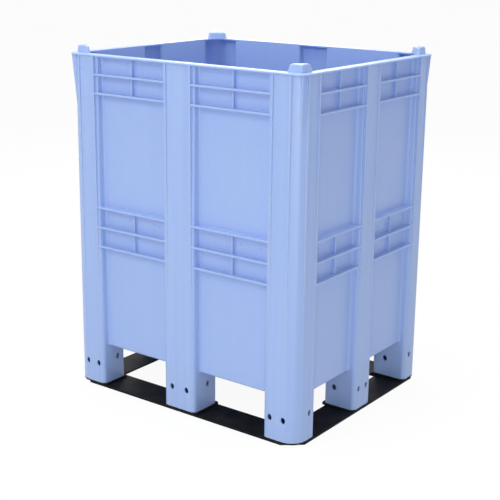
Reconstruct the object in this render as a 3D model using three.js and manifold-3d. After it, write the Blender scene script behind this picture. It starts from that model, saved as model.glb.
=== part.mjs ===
// Tall plastic pallet box on nine feet, with a ribbed one-piece body and a black base.
// Millimetres, +Z up. X runs along the long side, the origin is the middle of the floor under the box.
import * as THREE from 'three';
import { mergeVertices } from 'three/addons/utils/BufferGeometryUtils.js';
import Module from 'manifold-3d';

const wasm = await Module();
wasm.setup();

// Footprint and heights
const LENGTH = 1200;
const WIDTH = 1000;
const RUNNER_THICK = 8;
const CAP_THICK = 7;
const FOOT_HEIGHT = 173;
const FLOOR_THICK = 12;
const FLOOR_TO_RIM = 1267;
const RIM_HEIGHT = 7;
const FOOT_BASE = RUNNER_THICK + CAP_THICK;
const DECK_UNDER = FOOT_BASE + FOOT_HEIGHT;
const FLOOR_TOP = DECK_UNDER + FLOOR_THICK;
const RIM_UNDER = FLOOR_TOP + FLOOR_TO_RIM;
const RIM_TOP = RIM_UNDER + RIM_HEIGHT;

// Walls: panels set back between the posts
const PANEL_DEPTH = 34;
const WALL = 6;
const POST_WALL = 8;
const CORNER_R = 70;
const EDGE_R = 20;
const HOLLOW_R = 14;
const LOWER_R = 12;
const INNER_R = 60;
const POCKET_R = 12;

// Rim
const RIM_R = 40;
const RIM_ROUND = 4;

// Posts: widths along each side, with beads that stand proud of a channel that fades out below
const BEAD = 8;
const BEAD_TO_EDGE = 17;
const MID_HALF_LONG = 84;
const MID_HALF_SHORT = 67;
const CORNER_POST_LONG = 164;
const CORNER_POST_SHORT = 134;
const CORNER_FACE_LONG = 74;
const CORNER_FACE_SHORT = 59;
const CHANNEL_DEPTH = 6;
const NOTCH_DEPTH = 12;
const FADE_BASE = 250;

// Ribs
const RIB = 7.5;
const RIB_BACK = 1;
const CROSS_RIB_BACK = 21;
const TOP_BELT = [1392, 1314];
const MIDDLE_BELT = [825, 738, 653];
const RIB_ROOT = 3;
const FIN = 8;
const FIN_DROP = 230;
const FIN_ROOT = 10;

// Feet
const MID_FOOT_LONG = 150;
const MID_FOOT_SHORT = 150;
const CENTRE_FOOT_LENGTH = 168;
const CENTRE_FOOT_WIDTH = 150;
const FOOT_INNER_R = 15;
const FOOT_WALL = 8;

// Holes through the foot walls
const HOLE_WIDTH = 22;
const HOLE_HEIGHT = 28;
const LONG_HOLE_UP = 92;
const SHORT_HOLE_UP = 89;
const CORNER_SHORT_HOLE_UP = 113;
const LONG_SIDE_HOLE_UP = 108;
const SHORT_SIDE_HOLE_UP = 83;
const MID_HOLE_LONG = 39;
const MID_HOLE_SHORT = 30;
const CORNER_HOLES_LONG = [66, 130];
const CORNER_HOLE_SHORT = 92;
const SIDE_HOLE_LONG = 90;
const SIDE_HOLE_SHORT = 101;

// Stacking lugs on the rim corners
const LUG_LEG = 72;
const LUG_SET = 26;
const LUG_HEIGHT = 31;
const LUG_LEAN = 3;
const LUG_SHOULDER = 5;
const LUG_SHOULDER_IN = 3.5;
const LUG_R = 11;

// Ribs under the deck
const DECK_RIB = 8;
const DECK_RIB_HEIGHT = 8;
const DECK_RIB_LONG_SPREAD = 90;
const DECK_RIB_SHORT_SPREAD = 75;
const DECK_RIB_END = 30;

// Marks in the upper cells of the middle belt
const MARK = 9;
const MARK_DEPTH = 2.5;
const MARK_INNER_LONG = 36;
const MARK_OUTER_LONG = 133;
const MARK_INNER_SHORT = 30;
const MARK_OUTER_SHORT = 106;

// Black base
const RUNNER_LONG_WIDTH = 150;
const RUNNER_SHORT_WIDTH = 138;
const RUNNER_CHAMFER_LONG = 75;
const RUNNER_CHAMFER_SHORT = 63;
const RUNNER_GAP = 4;
const CAP_OVERHANG = 9;

const CORNER_STEPS = 6;
const EDGE_STEPS = 4;
const OVER = 5;

const blue = new THREE.MeshStandardMaterial({ color: 0xa4baee, roughness: 0.5, metalness: 0 });
const black = new THREE.MeshStandardMaterial({ color: 0x17171b, roughness: 0.55, metalness: 0 });

// The four sides, each seen from outside with u to the right and v inward from the outer plane
const long = {
  half: LENGTH / 2,
  reach: WIDTH / 2,
  mid: MID_HALF_LONG,
  cornerPost: CORNER_POST_LONG,
  cornerFace: CORNER_FACE_LONG,
  footDepth: MID_FOOT_LONG,
  midHole: MID_HOLE_LONG,
  holeUp: LONG_HOLE_UP,
  cornerHoles: CORNER_HOLES_LONG,
  cornerHoleUp: LONG_HOLE_UP,
  sideHole: SIDE_HOLE_LONG,
  sideHoleUp: LONG_SIDE_HOLE_UP,
  marks: [MARK_INNER_LONG, MARK_OUTER_LONG],
};
const short = {
  half: WIDTH / 2,
  reach: LENGTH / 2,
  mid: MID_HALF_SHORT,
  cornerPost: CORNER_POST_SHORT,
  cornerFace: CORNER_FACE_SHORT,
  footDepth: MID_FOOT_SHORT,
  midHole: MID_HOLE_SHORT,
  holeUp: SHORT_HOLE_UP,
  cornerHoles: [CORNER_HOLE_SHORT],
  cornerHoleUp: CORNER_SHORT_HOLE_UP,
  sideHole: SIDE_HOLE_SHORT,
  sideHoleUp: SHORT_SIDE_HOLE_UP,
  marks: [MARK_INNER_SHORT, MARK_OUTER_SHORT],
};
const sides = [long, short, long, short];

function toSolid(geometry) {
  const bare = geometry.clone();
  for (const name of Object.keys(bare.attributes)) {
    if (name !== 'position') bare.deleteAttribute(name);
  }
  const merged = mergeVertices(bare, 1e-4);
  const mesh = new wasm.Mesh({
    numProp: 3,
    vertProperties: Float32Array.from(merged.attributes.position.array),
    triVerts: Uint32Array.from(merged.index.array),
  });
  return new wasm.Manifold(mesh);
}

function toMesh(solid, name, material) {
  const out = solid.getMesh();
  const geometry = new THREE.BufferGeometry();
  geometry.setAttribute('position', new THREE.BufferAttribute(out.vertProperties, 3));
  geometry.setIndex(new THREE.BufferAttribute(out.triVerts, 1));
  geometry.computeVertexNormals();
  const mesh = new THREE.Mesh(geometry, material);
  mesh.name = name;
  return mesh;
}

// A closed path through corners { x, y, r }, each rounded by its own radius
function roundedPath(corners, steps) {
  const path = [];
  const count = corners.length;
  for (let i = 0; i < count; i += 1) {
    const here = new THREE.Vector2(corners[i].x, corners[i].y);
    const before = corners[(i + count - 1) % count];
    const after = corners[(i + 1) % count];
    const toBefore = new THREE.Vector2(before.x, before.y).sub(here).normalize();
    const toAfter = new THREE.Vector2(after.x, after.y).sub(here).normalize();
    const half = Math.acos(THREE.MathUtils.clamp(toBefore.dot(toAfter), -1, 1)) / 2;
    const radius = Math.max(corners[i].r, 0.01);
    const reach = radius / Math.tan(half);
    const start = here.clone().addScaledVector(toBefore, reach);
    const end = here.clone().addScaledVector(toAfter, reach);
    const middle = toBefore.clone().add(toAfter).normalize();
    const centre = here.clone().addScaledVector(middle, radius / Math.sin(half));
    const from = start.clone().sub(centre);
    const turn = Math.atan2(from.cross(end.clone().sub(centre)), from.dot(end.clone().sub(centre)));
    const parts = corners[i].steps ?? steps;
    for (let k = 0; k <= parts; k += 1) {
      const angle = (turn * k) / parts;
      path.push(new THREE.Vector2(
        centre.x + from.x * Math.cos(angle) - from.y * Math.sin(angle),
        centre.y + from.x * Math.sin(angle) + from.y * Math.cos(angle),
      ));
    }
  }
  return path;
}

function prism(path, low, high) {
  const shape = new THREE.Shape(path);
  const geometry = new THREE.ExtrudeGeometry(shape, { depth: high - low, bevelEnabled: false });
  geometry.translate(0, 0, low);
  return toSolid(geometry);
}

// A body through rings of equal count, each { path, z }, from the lowest to the highest
function loft(rings) {
  const count = rings[0].path.length;
  const points = rings.flatMap((ring) => ring.path.flatMap((p) => [p.x, p.y, ring.z]));
  const faces = [];
  for (let j = 0; j + 1 < rings.length; j += 1) {
    for (let i = 0; i < count; i += 1) {
      const a = j * count + i;
      const b = j * count + ((i + 1) % count);
      faces.push(a, b, b + count, a, b + count, a + count);
    }
  }
  const last = (rings.length - 1) * count;
  for (const [a, b, c] of THREE.ShapeUtils.triangulateShape(rings[0].path, [])) {
    faces.push(c, b, a);
  }
  for (const [a, b, c] of THREE.ShapeUtils.triangulateShape(rings.at(-1).path, [])) {
    faces.push(last + a, last + b, last + c);
  }
  const geometry = new THREE.BufferGeometry();
  geometry.setAttribute('position', new THREE.Float32BufferAttribute(points, 3));
  geometry.setIndex(faces);
  return toSolid(geometry);
}

function block(x0, x1, y0, y1, z0, z1) {
  const geometry = new THREE.BoxGeometry(x1 - x0, y1 - y0, z1 - z0);
  geometry.translate((x0 + x1) / 2, (y0 + y1) / 2, (z0 + z1) / 2);
  return toSolid(geometry);
}

function rectanglePath(x0, x1, y0, y1, radius, steps = CORNER_STEPS) {
  const corners = [[x0, y0], [x1, y0], [x1, y1], [x0, y1]];
  return roundedPath(corners.map(([x, y]) => ({ x, y, r: radius })), steps);
}

function framePath(inset, radius) {
  const x = LENGTH / 2 - inset;
  const y = WIDTH / 2 - inset;
  return rectanglePath(-x, x, -y, y, radius);
}

// A point of side number k, turned into the box's own plan
function onSide(k, u, v) {
  const point = new THREE.Vector2(u, v - sides[k].reach);
  return point.rotateAround(new THREE.Vector2(0, 0), (k * Math.PI) / 2);
}

function turned(solid, k) {
  return k === 0 ? solid : solid.rotate([0, 0, 90 * k]);
}

// A block on side k, given by its stretch along the side and its depth inward
function sideBlock(k, u0, u1, v0, v1, z0, z1) {
  const reach = sides[k].reach;
  return turned(block(u0, u1, v0 - reach, v1 - reach, z0, z1), k);
}

// The walls' plan: corner posts, middle posts and the panels set back between them
function wallPath(inset, panel = PANEL_DEPTH + inset, edge = EDGE_R - inset, hollow = HOLLOW_R + inset) {
  const corners = [];
  sides.forEach((side, k) => {
    const end = side.half - inset;
    const inner = side.half - side.cornerPost + inset;
    const mid = side.mid - inset;
    const face = inset;
    const stops = [
      [-end, face, CORNER_R - inset, CORNER_STEPS],
      [-inner, face, edge, EDGE_STEPS],
      [-inner, panel, hollow, EDGE_STEPS],
      [-mid, panel, hollow, EDGE_STEPS],
      [-mid, face, edge, EDGE_STEPS],
      [mid, face, edge, EDGE_STEPS],
      [mid, panel, hollow, EDGE_STEPS],
      [inner, panel, hollow, EDGE_STEPS],
      [inner, face, edge, EDGE_STEPS],
    ];
    for (const [u, v, r, steps] of stops) {
      const point = onSide(k, u, v);
      corners.push({ x: point.x, y: point.y, r, steps });
    }
  });
  return roundedPath(corners, EDGE_STEPS);
}

function walls() {
  const rings = [];
  for (let i = 0; i <= 3; i += 1) {
    const angle = (i * Math.PI) / 6;
    rings.push({
      path: wallPath(LOWER_R * (1 - Math.sin(angle))),
      z: DECK_UNDER + LOWER_R * (1 - Math.cos(angle)),
    });
  }
  rings.push({ path: wallPath(0), z: RIM_UNDER });
  return loft(rings);
}

function rim() {
  const rings = [{ path: framePath(0, RIM_R), z: RIM_UNDER }];
  for (let i = 0; i <= 3; i += 1) {
    const angle = (i * Math.PI) / 6;
    const inset = RIM_ROUND * (1 - Math.cos(angle));
    rings.push({ path: framePath(inset, RIM_R - inset), z: RIM_TOP - RIM_ROUND * (1 - Math.sin(angle)) });
  }
  return loft(rings);
}

// Plans of the feet, made smaller by inset for the hollow and larger inward by grow for the caps
function cornerFootPath(sx, sy, inset, grow) {
  const x0 = LENGTH / 2 - CORNER_POST_LONG + inset - grow;
  const y0 = WIDTH / 2 - CORNER_POST_SHORT + inset - grow;
  const x1 = LENGTH / 2 - inset;
  const y1 = WIDTH / 2 - inset;
  const inner = FOOT_INNER_R - inset;
  const edge = EDGE_R - inset;
  const corners = [
    { x: x0, y: y0, r: inner },
    { x: x1, y: y0, r: edge },
    { x: x1, y: y1, r: CORNER_R - inset, steps: CORNER_STEPS },
    { x: x0, y: y1, r: edge },
  ];
  const placed = corners.map((c) => ({ ...c, x: c.x * sx, y: c.y * sy }));
  return roundedPath(sx * sy > 0 ? placed : placed.reverse(), EDGE_STEPS);
}

function midFootPath(k, inset, grow) {
  const side = sides[k];
  const half = side.mid - inset + grow;
  const face = inset;
  const back = side.footDepth - inset + grow;
  const stops = [
    [-half, face, EDGE_R - inset],
    [half, face, EDGE_R - inset],
    [half, back, FOOT_INNER_R - inset],
    [-half, back, FOOT_INNER_R - inset],
  ];
  const corners = stops.map(([u, v, r]) => ({ ...pick(onSide(k, u, v)), r }));
  return roundedPath(corners, EDGE_STEPS);
}

function pick(point) {
  return { x: point.x, y: point.y };
}

function centreFootPath(inset, grow) {
  const x = CENTRE_FOOT_LENGTH / 2 - inset + grow;
  const y = CENTRE_FOOT_WIDTH / 2 - inset + grow;
  return rectanglePath(-x, x, -y, y, FOOT_INNER_R - inset, EDGE_STEPS);
}

const quarters = [
  { name: 'front_left', sx: -1, sy: -1 },
  { name: 'front_right', sx: 1, sy: -1 },
  { name: 'back_right', sx: 1, sy: 1 },
  { name: 'back_left', sx: -1, sy: 1 },
];
const sideNames = ['front', 'right', 'back', 'left'];

function footPaths(inset, grow) {
  return [
    ...quarters.map((q) => ({ name: q.name, path: cornerFootPath(q.sx, q.sy, inset, grow) })),
    ...sideNames.map((name, k) => ({ name, path: midFootPath(k, inset, grow) })),
    { name: 'centre', path: centreFootPath(inset, grow) },
  ];
}

// Inside of the box: flat over the panels, let out into every post
function cavity() {
  const face = PANEL_DEPTH + WALL;
  const room = prism(framePath(face, INNER_R), FLOOR_TOP, RIM_TOP + OVER);
  const outline = wallPath(CHANNEL_DEPTH + POST_WALL, face, POCKET_R, POCKET_R);
  return room.add(prism(outline, FLOOR_TOP, RIM_UNDER));
}

// What is cut from the posts: shallow channels between the beads, and a step outside each bead,
// both deepest under the rim and running out to nothing below
function postCuts() {
  const taper = (depth) => loft([
    { path: framePath(0, CORNER_R), z: FADE_BASE },
    { path: framePath(depth, CORNER_R - depth), z: RIM_UNDER },
  ]);
  const channels = [];
  const steps = [];
  sides.forEach((side, k) => {
    const next = sides[(k + 1) % 4];
    const beadOut = side.mid - BEAD_TO_EDGE;
    const beadIn = beadOut - BEAD;
    const inner = side.half - side.cornerPost;
    const cornerIn = inner + BEAD_TO_EDGE + BEAD;
    const cornerOut = cornerIn + side.cornerFace;
    const deep = PANEL_DEPTH;
    const z0 = FADE_BASE;
    const z1 = RIM_UNDER;
    channels.push(sideBlock(k, -beadIn, beadIn, -OVER, deep, z0, z1));
    channels.push(sideBlock(k, cornerIn, cornerOut, -OVER, deep, z0, z1));
    channels.push(sideBlock(k, -cornerOut, -cornerIn, -OVER, deep, z0, z1));
    const nextOut = next.cornerPost - BEAD_TO_EDGE - BEAD * 2 - next.cornerFace;
    channels.push(sideBlock(k, cornerOut + BEAD, side.half + OVER, -OVER, nextOut, z0, z1));
    for (const s of [-1, 1]) {
      const mid = [s * beadOut, s * (side.mid + OVER)].sort((a, b) => a - b);
      const corner = [s * (inner - OVER), s * (inner + BEAD_TO_EDGE)].sort((a, b) => a - b);
      steps.push(sideBlock(k, mid[0], mid[1], -OVER, deep, z0, z1));
      steps.push(sideBlock(k, corner[0], corner[1], -OVER, deep, z0, z1));
    }
  });
  const join = (list) => list.reduce((sum, one) => sum.add(one));
  return join(channels).subtract(taper(CHANNEL_DEPTH)).add(join(steps).subtract(taper(NOTCH_DEPTH)));
}

// Ribs of one bay of side k: level ribs across it and one upright in the middle of each belt
function bayRibs(k, s) {
  const side = sides[k];
  const near = side.mid - BEAD_TO_EDGE - BEAD / 2;
  const far = side.half - side.cornerPost + BEAD_TO_EDGE + BEAD / 2;
  const [u0, u1] = [s * near, s * far].sort((a, b) => a - b);
  const centre = (s * (side.half - side.cornerPost + side.mid)) / 2;
  const root = PANEL_DEPTH + RIB_ROOT;
  const ribs = [...TOP_BELT, ...MIDDLE_BELT].map((z) => (
    sideBlock(k, u0, u1, RIB_BACK, root, z - RIB / 2, z + RIB / 2)
  ));
  const upright = (low, high) => (
    sideBlock(k, centre - RIB / 2, centre + RIB / 2, CROSS_RIB_BACK, root, low, high)
  );
  ribs.push(upright(TOP_BELT.at(-1), RIM_UNDER));
  ribs.push(upright(MIDDLE_BELT.at(-1), MIDDLE_BELT[0]));
  return ribs.reduce((sum, one) => sum.add(one));
}

// The fin that carries the squarer corner of the rim on the rounder corner post
function cornerFin(sx, sy) {
  const diagonal = Math.SQRT1_2;
  const rimPoint = RIM_R * (Math.SQRT2 - 1) + 1;
  const postPoint = CORNER_R * (Math.SQRT2 - 1) + 1;
  const inner = postPoint + CHANNEL_DEPTH + FIN_ROOT;
  const profile = new THREE.Shape([
    new THREE.Vector2(-inner, RIM_UNDER - FIN_DROP),
    new THREE.Vector2(-postPoint - CHANNEL_DEPTH, RIM_UNDER - FIN_DROP),
    new THREE.Vector2(-rimPoint, RIM_UNDER + RIM_HEIGHT / 2),
    new THREE.Vector2(-inner, RIM_UNDER + RIM_HEIGHT / 2),
  ]);
  const geometry = new THREE.ExtrudeGeometry(profile, { depth: FIN, bevelEnabled: false });
  geometry.translate(0, 0, -FIN / 2);
  geometry.rotateX(Math.PI / 2);
  geometry.rotateZ(Math.atan2(sy * diagonal, sx * diagonal));
  geometry.translate((sx * LENGTH) / 2, (sy * WIDTH) / 2, 0);
  return toSolid(geometry);
}

// Three-cornered stacking lug, its outer faces along the two sides of the box
function lug(sx, sy) {
  const ring = (taper) => {
    const x = LENGTH / 2 - LUG_SET - taper;
    const y = WIDTH / 2 - LUG_SET - taper;
    const leg = LUG_LEG - taper * (2 + Math.SQRT2);
    const corners = [
      { x: x - leg, y, r: LUG_R / 2 },
      { x: x - leg + leg / 8, y: y - leg / 4, r: LUG_R / 2 },
      { x: x - leg / 4, y: y - leg + leg / 8, r: LUG_R / 2 },
      { x, y: y - leg, r: LUG_R / 2 },
      { x, y, r: LUG_R },
    ];
    const placed = corners.map((c) => ({ ...c, x: c.x * sx, y: c.y * sy }));
    return roundedPath(sx * sy > 0 ? placed : placed.reverse(), EDGE_STEPS);
  };
  return loft([
    { path: ring(0), z: RIM_TOP - RIM_HEIGHT / 2 },
    { path: ring(0), z: RIM_TOP },
    { path: ring(LUG_LEAN), z: RIM_TOP + LUG_HEIGHT - LUG_SHOULDER },
    { path: ring(LUG_LEAN + LUG_SHOULDER_IN), z: RIM_TOP + LUG_HEIGHT },
  ]);
}

function ovalCut(width, height, depth) {
  const shape = new THREE.Shape();
  shape.absellipse(0, 0, width / 2, height / 2, 0, Math.PI * 2);
  const geometry = new THREE.ExtrudeGeometry(shape, { depth, bevelEnabled: false, curveSegments: 5 });
  geometry.rotateX(Math.PI / 2);
  return geometry;
}

// A hole through the face of side k, and one through the bay side of a foot
function faceHole(k, u, z) {
  const geometry = ovalCut(HOLE_WIDTH, HOLE_HEIGHT, FOOT_WALL + OVER * 2);
  geometry.translate(u, FOOT_WALL + OVER - sides[k].reach, z);
  return turned(toSolid(geometry), k);
}

function bayHole(k, u, v, z) {
  const geometry = ovalCut(HOLE_WIDTH, HOLE_HEIGHT, FOOT_WALL + OVER * 2);
  geometry.translate(0, FOOT_WALL / 2 + OVER, 0);
  geometry.rotateZ(Math.PI / 2);
  geometry.translate(u, v - sides[k].reach, z);
  return turned(toSolid(geometry), k);
}

function footHoles() {
  const cuts = [];
  sides.forEach((side, k) => {
    const up = FOOT_BASE + side.holeUp;
    const cornerUp = FOOT_BASE + side.cornerHoleUp;
    const sideUp = FOOT_BASE + side.sideHoleUp;
    const inner = side.half - side.cornerPost;
    for (const s of [-1, 1]) {
      cuts.push(faceHole(k, s * side.midHole, up));
      for (const from of side.cornerHoles) cuts.push(faceHole(k, s * (side.half - from), cornerUp));
      cuts.push(bayHole(k, s * (side.mid - FOOT_WALL / 2), side.sideHole, sideUp));
      cuts.push(bayHole(k, s * (inner + FOOT_WALL / 2), side.sideHole, sideUp));
    }
  });
  return cuts.reduce((sum, one) => sum.add(one));
}

// Small round marks in the upper cells of the middle belt
function panelMarks() {
  const z = (MIDDLE_BELT[0] + MIDDLE_BELT[1]) / 2;
  const cuts = [];
  sides.forEach((side, k) => {
    const centre = (side.half - side.cornerPost + side.mid) / 2;
    for (const s of [-1, 1]) {
      for (const offset of side.marks) {
        for (const t of [-1, 1]) {
          const geometry = new THREE.CylinderGeometry(MARK / 2, MARK / 2, MARK_DEPTH * 2, 8);
          geometry.translate(s * centre + t * offset, PANEL_DEPTH - side.reach, z);
          cuts.push(turned(toSolid(geometry), k));
        }
      }
    }
  });
  return cuts.reduce((sum, one) => sum.add(one));
}

function deckRibs() {
  const ribs = [];
  const low = DECK_UNDER - DECK_RIB_HEIGHT;
  const high = DECK_UNDER + FLOOR_THICK / 2;
  const x = LENGTH / 2 - PANEL_DEPTH - DECK_RIB_END;
  const y = WIDTH / 2 - PANEL_DEPTH - DECK_RIB_END;
  const bayX = (long.half - long.cornerPost + long.mid) / 2;
  const bayY = (short.half - short.cornerPost + short.mid) / 2;
  for (const s of [-1, 1]) {
    for (const t of [-1, 1]) {
      const at = s * bayX + t * DECK_RIB_LONG_SPREAD;
      const across = s * bayY + t * DECK_RIB_SHORT_SPREAD;
      ribs.push(block(at - DECK_RIB / 2, at + DECK_RIB / 2, -y, y, low, high));
      ribs.push(block(-x, x, across - DECK_RIB / 2, across + DECK_RIB / 2, low, high));
    }
  }
  return ribs.reduce((sum, one) => sum.add(one));
}

function body() {
  let solid = walls();
  const footTop = DECK_UNDER + LOWER_R + FLOOR_THICK;
  for (const foot of footPaths(0, 0)) solid = solid.add(prism(foot.path, FOOT_BASE, footTop));
  solid = solid.subtract(postCuts());
  solid = solid.add(rim()).add(deckRibs());
  for (let k = 0; k < 4; k += 1) solid = solid.add(bayRibs(k, -1)).add(bayRibs(k, 1));
  for (const q of quarters) solid = solid.add(cornerFin(q.sx, q.sy)).add(lug(q.sx, q.sy));
  solid = solid.subtract(panelMarks());
  solid = solid.subtract(cavity().subtract(lugSeats()));
  for (const foot of footPaths(FOOT_WALL, 0)) {
    solid = solid.subtract(prism(foot.path, FOOT_BASE - OVER, DECK_UNDER));
  }
  return solid.subtract(footHoles());
}

// Where the lugs reach in past the rim, they and the web below them stay solid
function lugSeats() {
  return quarters.map((q) => lug(q.sx, q.sy)).reduce((sum, one) => sum.add(one));
}

// One quarter of the flat base ring, with a cut-off outer corner
function runner(sx, sy) {
  const x = LENGTH / 2;
  const y = WIDTH / 2;
  const gap = RUNNER_GAP / 2;
  const inX = x - RUNNER_SHORT_WIDTH;
  const inY = y - RUNNER_LONG_WIDTH;
  const points = [
    [gap, inY],
    [inX, inY],
    [inX, gap],
    [x, gap],
    [x, y - RUNNER_CHAMFER_SHORT],
    [x - RUNNER_CHAMFER_LONG, y],
    [gap, y],
  ];
  const path = points.map(([px, py]) => new THREE.Vector2(px * sx, py * sy));
  return prism(sx * sy > 0 ? path : path.reverse(), 0, RUNNER_THICK);
}

const palletBox = new THREE.Group();
palletBox.name = 'pallet_box';
palletBox.add(toMesh(body(), 'box_body', blue));
for (const q of quarters) palletBox.add(toMesh(runner(q.sx, q.sy), `${q.name}_runner`, black));
for (const foot of footPaths(0, CAP_OVERHANG)) {
  const low = foot.name === 'centre' ? 0 : RUNNER_THICK;
  palletBox.add(toMesh(prism(foot.path, low, FOOT_BASE), `${foot.name}_foot_cap`, black));
}

export default palletBox;
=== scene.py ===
import math

import bmesh
import bpy
from mathutils import Matrix, Vector


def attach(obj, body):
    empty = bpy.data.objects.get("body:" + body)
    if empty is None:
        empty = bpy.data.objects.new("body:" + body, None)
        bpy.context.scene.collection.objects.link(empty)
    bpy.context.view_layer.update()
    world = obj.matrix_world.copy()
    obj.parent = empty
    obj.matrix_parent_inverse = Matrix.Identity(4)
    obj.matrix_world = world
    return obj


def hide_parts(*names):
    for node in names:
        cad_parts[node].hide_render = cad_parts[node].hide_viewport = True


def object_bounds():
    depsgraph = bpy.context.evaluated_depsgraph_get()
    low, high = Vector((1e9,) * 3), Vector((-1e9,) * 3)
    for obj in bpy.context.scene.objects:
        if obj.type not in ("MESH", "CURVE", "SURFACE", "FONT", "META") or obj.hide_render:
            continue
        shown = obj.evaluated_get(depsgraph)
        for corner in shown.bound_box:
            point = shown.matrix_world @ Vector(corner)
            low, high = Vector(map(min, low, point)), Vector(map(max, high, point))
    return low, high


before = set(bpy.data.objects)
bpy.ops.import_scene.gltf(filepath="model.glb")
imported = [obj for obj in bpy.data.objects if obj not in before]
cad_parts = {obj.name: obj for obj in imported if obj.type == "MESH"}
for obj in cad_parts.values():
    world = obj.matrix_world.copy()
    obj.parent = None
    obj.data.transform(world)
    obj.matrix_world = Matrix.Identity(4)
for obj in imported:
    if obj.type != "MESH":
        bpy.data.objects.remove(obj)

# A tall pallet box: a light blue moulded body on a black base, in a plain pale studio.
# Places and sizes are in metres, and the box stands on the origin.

cad_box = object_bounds()

# Camera, set to the edges and corners in the photograph
CAMERA_PLACE = (2.803326, -3.794723, 1.943609)
CAMERA_YAW = math.radians(126.49906)
CAMERA_PITCH = math.radians(15.84265)
CAMERA_ROLL = math.radians(0.59191)
NEAREST_SEEN = 0.1
FURTHEST_SEEN = 200.0

# Lens, in millimetres
SENSOR_WIDTH = 36.0
FOCAL_LENGTH = 79.192

# How far the panels lie behind the posts, and how round the edges look
PANEL_DEPTH = 0.034
BODY_EDGE = 0.0034
BASE_EDGE = 0.0015
EDGE_SAMPLES = 8

# How the copied solids are joined and smoothed, with the angles kept as cosines
WELD = 2e-5
SAME_PLANE = math.cos(math.radians(0.3))
STILL_SMOOTH = math.cos(math.radians(32))
WIDE_FACET_PULL = 4

# Colours, linear
MOULDED_BLUE = (0.346, 0.484, 0.818, 1.0)
BLUE_LOW = (0.329, 0.468, 0.804, 1.0)
BLUE_HIGH = (0.363, 0.500, 0.832, 1.0)
# Pale blue for scuffs and rubbed edges; on the edges it is also a painted highlight
RUBBED_AND_HIGHLIGHT_BLUE = (0.60, 0.68, 0.86, 1.0)
SETTLED_DUST = (0.50, 0.50, 0.50, 1.0)
BASE_BLACK = (0.0060, 0.0060, 0.0072, 1.0)
BASE_MOTTLE = (0.0120, 0.0120, 0.0140, 1.0)
# Grey-black for scuffs; on the base's edges it is also a painted highlight
BASE_SCUFF_AND_HIGHLIGHT = (0.045, 0.045, 0.050, 1.0)
PALE = (0.9, 0.9, 0.9, 1.0)
WHITE = (1.0, 1.0, 1.0, 1.0)

# Floor, world and lamps: shade, veil and light are shares of white
FLOOR_SPAN = 120.0
FLOOR_DROP = 0.0005
FLOOR_SHADE = 0.72
FLOOR_VEIL = 0.93
WORLD_LIGHT = 0.56
LAMP_AIM = Vector((0.0, 0.0, 0.8))

# The colour sockets of a Mix node
MIX_FACTOR = 0
MIX_FIRST = 6
MIX_SECOND = 7
MIX_RESULT = 2


# Camera
def aim_camera():
    """The photograph's view: the front right corner is the near one, seen from a little above the rim."""
    flat = math.cos(CAMERA_PITCH)
    ahead = Vector((flat * math.cos(CAMERA_YAW), flat * math.sin(CAMERA_YAW), -math.sin(CAMERA_PITCH)))
    level = ahead.cross(Vector((0, 0, 1))).normalized()
    rise = level.cross(ahead)
    right = math.cos(CAMERA_ROLL) * level + math.sin(CAMERA_ROLL) * rise
    up = -math.sin(CAMERA_ROLL) * level + math.cos(CAMERA_ROLL) * rise
    turn = Matrix((right, up, -ahead)).transposed().to_4x4()
    lens = bpy.data.cameras.new("studio_camera")
    lens.sensor_width = SENSOR_WIDTH
    lens.lens = FOCAL_LENGTH
    lens.clip_start = NEAREST_SEEN
    lens.clip_end = FURTHEST_SEEN
    camera = bpy.data.objects.new("studio_camera", lens)
    camera.matrix_world = Matrix.Translation(CAMERA_PLACE) @ turn
    bpy.context.scene.collection.objects.link(camera)
    bpy.context.scene.camera = camera


# Node helpers
class Nodes:
    """Adds nodes to one tree. An input takes a node's output, or a plain number, colour or direction."""

    def __init__(self, tree):
        self.tree = tree

    def fill(self, node, inputs):
        for name, value in inputs.items():
            if isinstance(value, bpy.types.NodeSocket):
                self.tree.links.new(value, node.inputs[name])
            else:
                node.inputs[name].default_value = value

    def add(self, kind, inputs=None, **settings):
        node = self.tree.nodes.new(kind)
        for name, setting in settings.items():
            setattr(node, name, setting)
        self.fill(node, inputs or {})
        return node

    def place(self):
        return self.add("ShaderNodeTexCoord").outputs["Object"]

    def facing(self):
        return self.add("ShaderNodeNewGeometry").outputs["Normal"]

    def axes(self, vector):
        return self.add("ShaderNodeSeparateXYZ", {"Vector": vector}).outputs

    def noise(self, vector, scale, detail, roughness, distortion=0.0):
        sizes = {"Scale": scale, "Detail": detail, "Roughness": roughness, "Distortion": distortion}
        return self.add("ShaderNodeTexNoise", {"Vector": vector, **sizes}).outputs["Fac"]

    def math(self, operation, *values, clamp=False):
        node = self.add("ShaderNodeMath", dict(enumerate(values)), operation=operation, use_clamp=clamp)
        return node.outputs["Value"]

    def span(self, value, low, high, to_low=0.0, to_high=1.0):
        """Runs smoothly from to_low to to_high while the value goes from low to high."""
        node = self.add(
            "ShaderNodeMapRange",
            {"Value": value, "From Min": low, "From Max": high, "To Min": to_low, "To Max": to_high},
            interpolation_type="SMOOTHSTEP",
        )
        return node.outputs["Result"]

    def blend(self, factor, first, second):
        inputs = {MIX_FACTOR: factor, MIX_FIRST: first, MIX_SECOND: second}
        return self.add("ShaderNodeMix", inputs, data_type="RGBA").outputs[MIX_RESULT]


def new_group(name, inputs, outputs):
    """An empty shader group. An input that is given None takes a direction, and the others take numbers."""
    tree = bpy.data.node_groups.new(name, "ShaderNodeTree")
    for label, value in inputs.items():
        kind = "NodeSocketVector" if value is None else "NodeSocketFloat"
        socket = tree.interface.new_socket(label, in_out="INPUT", socket_type=kind)
        if value is not None:
            socket.default_value = value
    for label in outputs:
        tree.interface.new_socket(label, in_out="OUTPUT", socket_type="NodeSocketFloat")
    n = Nodes(tree)
    return n, n.add("NodeGroupInput").outputs, n.add("NodeGroupOutput")


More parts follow.
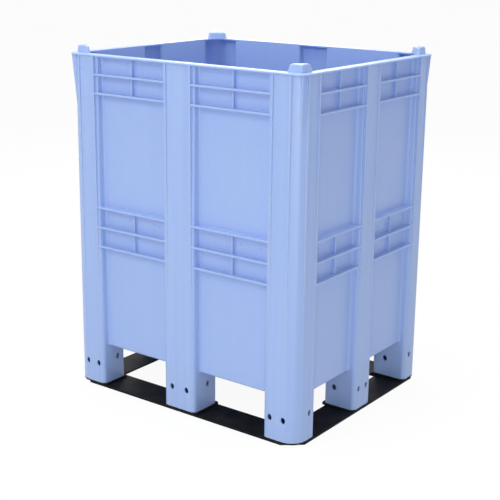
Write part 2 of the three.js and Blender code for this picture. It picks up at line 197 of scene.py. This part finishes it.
# Shared effects
def edge_wear_and_highlight_group():
    """A mask of the outer edges for rubbed wear and a painted highlight, broken up so that they look rubbed
    and not outlined.
    """
    n, given, result = new_group("edge_wear_and_highlight", {"Rounded": None, "Break-up": 60.0}, ["Mask"])
    turned = n.add("ShaderNodeVectorMath", {0: given["Rounded"], 1: n.facing()}, operation="DOT_PRODUCT")
    # Edges that turn away from the flat face: partly rubbed wear, partly a painted highlight
    edge = n.span(turned.outputs["Value"], low=0.998, high=0.84)
    patches = n.noise(n.place(), given["Break-up"], detail=3.0, roughness=0.6)
    worn = n.span(patches, low=0.30, high=0.65, to_low=0.35)
    n.fill(result, {"Mask": n.math("MULTIPLY", edge, worn, clamp=True)})
    return n.tree


def moulded_grain_group():
    """The surface of moulded plastic: a fine grain, and a slow waviness where the wall sank as it cooled."""
    inputs = {"Grain scale": 900.0, "Wave scale": 5.0, "Wave share": 6.0}
    n, given, result = new_group("moulded_grain", inputs, ["Height", "Tone"])
    place = n.place()
    grain = n.noise(place, given["Grain scale"], detail=2.0, roughness=0.5)
    wave = n.noise(place, given["Wave scale"], detail=1.0, roughness=0.4)
    swell = n.math("MULTIPLY", wave, given["Wave share"])
    n.fill(result, {"Height": n.math("ADD", grain, swell), "Tone": wave})
    return n.tree


def scuffs_group():
    """Thin marks from handling: short, mostly level scratches, more of them towards the foot."""
    tilt = (0.12, 0.09, 0.0)
    stretch = (14.0, 14.0, 420.0)
    n, given, result = new_group("scuffs", {"Density": 0.5, "Low": 0.0, "High": 1.4}, ["Mask"])
    place = n.place()
    drawn = n.add("ShaderNodeMapping", {"Vector": place, "Rotation": tilt, "Scale": stretch})
    lines = n.noise(drawn.outputs["Vector"], scale=1.0, detail=2.0, roughness=0.55)
    where = n.noise(place, scale=7.0, detail=3.0, roughness=0.6)
    thin = n.span(lines, low=0.66, high=0.74)
    spots = n.span(where, low=0.50, high=0.68)
    fewer_above = n.add(
        "ShaderNodeMapRange",
        {
            "Value": n.axes(place)["Z"],
            "From Min": given["Low"],
            "From Max": given["High"],
            "To Min": 1.0,
            "To Max": 0.25,
        },
    )
    marks = n.math("MULTIPLY", thin, spots)
    marks = n.math("MULTIPLY", marks, fewer_above.outputs["Result"])
    n.fill(result, {"Mask": n.math("MULTIPLY", marks, given["Density"], clamp=True)})
    return n.tree


def dust_group():
    """Dust that lies in soft patches on faces that look up."""
    n, given, result = new_group("dust", {"Amount": 0.4, "Patch scale": 9.0}, ["Mask"])
    up = n.span(n.axes(n.facing())["Z"], low=0.55, high=1.0)
    patches = n.noise(n.place(), given["Patch scale"], detail=5.0, roughness=0.6)
    soft = n.span(patches, low=0.38, high=0.70)
    mask = n.math("MULTIPLY", up, soft)
    n.fill(result, {"Mask": n.math("MULTIPLY", mask, given["Amount"], clamp=True)})
    return n.tree


def flow_marks_group():
    """Faint upright bands in the pigment: plain on the posts, and hardly seen on the panels behind them."""
    middle = 0.5
    inputs = {"Band scale": 42.0, "Upright scale": 0.5, "Half length": 0.6, "Half width": 0.5}
    n, given, result = new_group("flow_marks", inputs, ["Tone"])
    at = n.axes(n.place())
    drawn = n.add(
        "ShaderNodeCombineXYZ",
        {
            "X": n.math("MULTIPLY", at["X"], given["Band scale"]),
            "Y": n.math("MULTIPLY", at["Y"], given["Band scale"]),
            "Z": n.math("MULTIPLY", at["Z"], given["Upright scale"]),
        },
    )
    bands = n.noise(drawn.outputs["Vector"], scale=1.0, detail=4.0, roughness=0.55, distortion=0.3)
    past_end = n.math("SUBTRACT", n.math("ABSOLUTE", at["X"]), given["Half length"])
    past_side = n.math("SUBTRACT", n.math("ABSOLUTE", at["Y"]), given["Half width"])
    outermost = n.math("MAXIMUM", past_end, past_side)
    share = n.span(outermost, low=-PANEL_DEPTH, high=-PANEL_DEPTH / 3, to_low=0.25)
    swing = n.math("SUBTRACT", n.span(bands, low=0.25, high=0.75), middle)
    n.fill(result, {"Tone": n.math("ADD", n.math("MULTIPLY", swing, share), middle)})
    return n.tree


effects = {
    "flow_marks": flow_marks_group(),
    "edge_wear_and_highlight": edge_wear_and_highlight_group(),
    "moulded_grain": moulded_grain_group(),
    "scuffs": scuffs_group(),
    "dust": dust_group(),
}


def effect(n, name, inputs):
    """One of the shared effects, placed in a material with values of its own."""
    return n.add("ShaderNodeGroup", inputs, node_tree=effects[name]).outputs


# Materials
def new_material(name, viewport_colour):
    material = bpy.data.materials.new(name)
    material.use_nodes = True
    material.diffuse_color = viewport_colour
    n = Nodes(material.node_tree)
    return material, n, n.tree.nodes["Principled BSDF"]


def rubbed_and_highlit_edges(n, radius):
    """A normal that rounds each edge by the radius, and a mask of those edges, which are lightened as rubbed
    wear and as a painted highlight.
    """
    rounded = n.add("ShaderNodeBevel", {"Radius": radius}, samples=EDGE_SAMPLES).outputs["Normal"]
    return rounded, effect(n, "edge_wear_and_highlight", {"Rounded": rounded})["Mask"]


def handled_colour(n, pigment, rubbed_and_highlight_colour, edges, scuffs, dust):
    """The pigment under edges lightened as wear and as a painted highlight, then scuffs and dust, each laid
    over the last.
    """
    # The edges' pale colour is partly wear and partly a painted highlight
    rubbed_and_highlit = n.blend(edges, pigment, rubbed_and_highlight_colour)
    marked = n.blend(scuffs, rubbed_and_highlit, rubbed_and_highlight_colour)
    return n.blend(dust, marked, SETTLED_DUST)


def relief(n, height, rounded, strength, depth):
    """A normal that lays the surface's fine height over its rounded edges."""
    inputs = {"Height": height, "Normal": rounded, "Strength": strength, "Distance": depth}
    return n.add("ShaderNodeBump", inputs).outputs["Normal"]


def blue_moulded_plastic():
    """The body: satin plastic that lets a little light in, with pale edges that are partly rubbed wear and
    partly a painted highlight.
    """
    edge_share = 0.72
    scuff_share = 0.45
    scuff_dulling = 0.15
    material, n, shader = new_material("blue_moulded_plastic", MOULDED_BLUE)
    rounded, edges = rubbed_and_highlit_edges(n, BODY_EDGE)
    grain = effect(n, "moulded_grain", {"Grain scale": 900.0, "Wave scale": 4.0, "Wave share": 5.0})
    flow = effect(n, "flow_marks", {"Half length": cad_box[1][0], "Half width": cad_box[1][1]})
    marks = effect(n, "scuffs", {"Density": 0.40})["Mask"]
    dust = effect(n, "dust", {"Amount": 0.08})["Mask"]
    pigment = n.blend(flow["Tone"], BLUE_LOW, BLUE_HIGH)
    # Painted highlight and rubbed wear along the edges
    edges = n.math("MULTIPLY", edges, edge_share)
    scuffs = n.math("MULTIPLY", marks, scuff_share)
    satin = n.span(grain["Tone"], low=0.2, high=0.8, to_low=0.36, to_high=0.44)
    n.fill(
        shader,
        {
            "Base Color": handled_colour(n, pigment, RUBBED_AND_HIGHLIGHT_BLUE, edges, scuffs, dust),
            "Roughness": n.math("ADD", satin, n.math("MULTIPLY", marks, scuff_dulling)),
            "Normal": relief(n, grain["Height"], rounded, strength=0.16, depth=0.0006),
            "IOR": 1.5,
            "Specular IOR Level": 0.75,
            "Subsurface Weight": 0.35,
            "Subsurface Radius": (0.35, 0.6, 1.0),
            "Subsurface Scale": 0.012,
        },
    )
    return material


def black_base_plastic():
    """The base boards and foot plates: dull black plastic, mottled and scuffed, with edges lightened as wear
    and as a painted highlight.
    """
    edge_share = 0.5
    scuff_share = 0.6
    dust_share = 0.4
    material, n, shader = new_material("black_base_plastic", BASE_BLACK)
    rounded, edges = rubbed_and_highlit_edges(n, BASE_EDGE)
    grain = effect(n, "moulded_grain", {"Grain scale": 500.0, "Wave scale": 12.0, "Wave share": 3.0})
    marks = effect(n, "scuffs", {"Density": 1.0, "Low": -0.02, "High": 0.2})["Mask"]
    dust = effect(n, "dust", {"Amount": 0.05, "Patch scale": 14.0})["Mask"]
    pigment = n.blend(n.span(grain["Tone"], low=0.3, high=0.7), BASE_BLACK, BASE_MOTTLE)
    # Painted highlight and rubbed wear along the edges
    edges = n.math("MULTIPLY", edges, edge_share)
    scuffs = n.math("MULTIPLY", marks, scuff_share)
    dust = n.math("MULTIPLY", dust, dust_share)
    n.fill(
        shader,
        {
            "Base Color": handled_colour(n, pigment, BASE_SCUFF_AND_HIGHLIGHT, edges, scuffs, dust),
            "Roughness": n.span(grain["Tone"], low=0.2, high=0.8, to_low=0.44, to_high=0.60),
            "Normal": relief(n, grain["Height"], rounded, strength=0.25, depth=0.0008),
            "Specular IOR Level": 0.07,
        },
    )
    return material


# Pieces
def facet_widths(shape):
    """How wide the flat facet is that each triangle belongs to, in the order of the triangles."""
    facet = [None] * len(shape.faces)
    widths = []
    for seed in shape.faces:
        if facet[seed.index] is not None:
            continue
        facet[seed.index] = len(widths)
        area = 0.0
        rim = 0.0
        waiting = [seed]
        while waiting:
            face = waiting.pop()
            area += face.calc_area()
            for edge in face.edges:
                beside = [other for other in edge.link_faces if other is not face]
                if not beside or beside[0].normal.dot(seed.normal) < SAME_PLANE:
                    rim += edge.calc_length()
                elif facet[beside[0].index] is None:
                    facet[beside[0].index] = len(widths)
                    waiting.append(beside[0])
        # Twice the area over the rim is the width of a long strip
        widths.append(2.0 * area / max(rim, WELD))
    return [widths[number] for number in facet]


def even_normals(shape):
    """Normals for each corner of each triangle: flat faces stay flat and rounded ones turn evenly."""
    width = facet_widths(shape)
    normals = []
    for face in shape.faces:
        for corner in face.loops:
            lean = Vector()
            for near in corner.vert.link_loops:
                if near.face.normal.dot(face.normal) > STILL_SMOOTH:
                    pull = near.calc_angle() * width[near.face.index] ** WIDE_FACET_PULL
                    lean += near.face.normal * pull
            normals.append(lean.normalized())
    return normals


def finished_copy(node_name, piece_name, material):
    """A welded copy of one solid, smooth over its rounded corners and crisp at its edges."""
    shape = bmesh.new()
    shape.from_mesh(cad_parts[node_name].data)
    bmesh.ops.remove_doubles(shape, verts=shape.verts, dist=WELD)
    shape.faces.index_update()
    shape.normal_update()
    for face in shape.faces:
        face.smooth = True
    normals = even_normals(shape)
    mesh = bpy.data.meshes.new(piece_name)
    shape.to_mesh(mesh)
    shape.free()
    mesh.normals_split_custom_set(normals)
    mesh.materials.clear()
    mesh.materials.append(material)
    piece = bpy.data.objects.new(piece_name, mesh)
    bpy.context.scene.collection.objects.link(piece)
    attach(piece, "root")
    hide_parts(node_name)


# Studio
def seen_directly(n):
    """One for what the camera, gloss or glass shows, and nought for the light that falls on the box."""
    path = n.add("ShaderNodeLightPath").outputs
    shown = n.math("ADD", path["Is Camera Ray"], path["Is Glossy Ray"])
    return n.math("ADD", shown, path["Is Transmission Ray"], clamp=True)


def pale_floor():
    """A wide floor that keeps a faint shadow and is nearly white where it is seen."""
    half = FLOOR_SPAN / 2
    corners = ((-half, -half), (half, -half), (half, half), (-half, half))
    mesh = bpy.data.meshes.new("studio_floor")
    mesh.from_pydata([(x, y, -FLOOR_DROP) for x, y in corners], [], [(0, 1, 2, 3)])
    floor = bpy.data.objects.new("studio_floor", mesh)
    bpy.context.scene.collection.objects.link(floor)
    material, n, shader = new_material("pale_floor", PALE)
    seen = seen_directly(n)
    n.fill(
        shader,
        {
            "Base Color": n.span(seen, low=0.0, high=1.0, to_low=FLOOR_SHADE),
            "Roughness": 0.9,
            "Specular IOR Level": 0.0,
        },
    )
    white = n.add("ShaderNodeEmission", {"Color": WHITE, "Strength": 1.0})
    veil = n.math("MULTIPLY", seen, FLOOR_VEIL)
    veiled = n.add("ShaderNodeMixShader", {0: veil, 1: shader.outputs[0], 2: white.outputs[0]})
    n.fill(n.tree.nodes["Material Output"], {"Surface": veiled.outputs[0]})
    mesh.materials.append(material)


def pale_world():
    """A soft even light from all round, with plain white behind the box."""
    world = bpy.data.worlds.new("studio_world")
    bpy.context.scene.world = world
    world.use_nodes = True
    n = Nodes(world.node_tree)
    n.tree.nodes.clear()
    light = n.add("ShaderNodeBackground", {"Color": WHITE, "Strength": WORLD_LIGHT})
    white = n.add("ShaderNodeBackground", {"Color": WHITE, "Strength": 1.0})
    mixed = n.add("ShaderNodeMixShader", {0: seen_directly(n), 1: light.outputs[0], 2: white.outputs[0]})
    n.add("ShaderNodeOutputWorld", {"Surface": mixed.outputs[0]}, is_active_output=True)


def soft_lamp(name, place, size, power):
    """A rectangular lamp aimed near the middle of the box."""
    light = bpy.data.lights.new(name, "AREA")
    light.shape = "RECTANGLE"
    light.size = size[0]
    light.size_y = size[1]
    light.energy = power
    lamp = bpy.data.objects.new(name, light)
    away = (Vector(place) - LAMP_AIM).normalized()
    lamp.matrix_world = Matrix.Translation(place) @ away.to_track_quat("Z", "Y").to_matrix().to_4x4()
    bpy.context.scene.collection.objects.link(lamp)


aim_camera()

blue = blue_moulded_plastic()
black = black_base_plastic()

finished_copy("box_body", "pallet_box_body", blue)
for corner in ("front_left", "front_right", "back_right", "back_left"):
    finished_copy(corner + "_runner", corner + "_base_board", black)
    finished_copy(corner + "_foot_cap", corner + "_foot_plate", black)
for side in ("front", "right", "back", "left", "centre"):
    finished_copy(side + "_foot_cap", side + "_foot_plate", black)

pale_floor()
pale_world()
soft_lamp("key_lamp", place=(-1.6, -4.8, 4.6), size=(2.2, 2.2), power=95.0)
soft_lamp("front_lamp", place=(3.4, -5.0, 1.3), size=(1.2, 1.8), power=62.0)
soft_lamp("top_lamp", place=(0.0, 0.0, 5.4), size=(3.0, 3.0), power=150.0)
soft_lamp("back_lamp", place=(-3.4, 4.8, 2.6), size=(2.0, 2.0), power=45.0)

bpy.context.scene.view_settings.view_transform = "Standard"
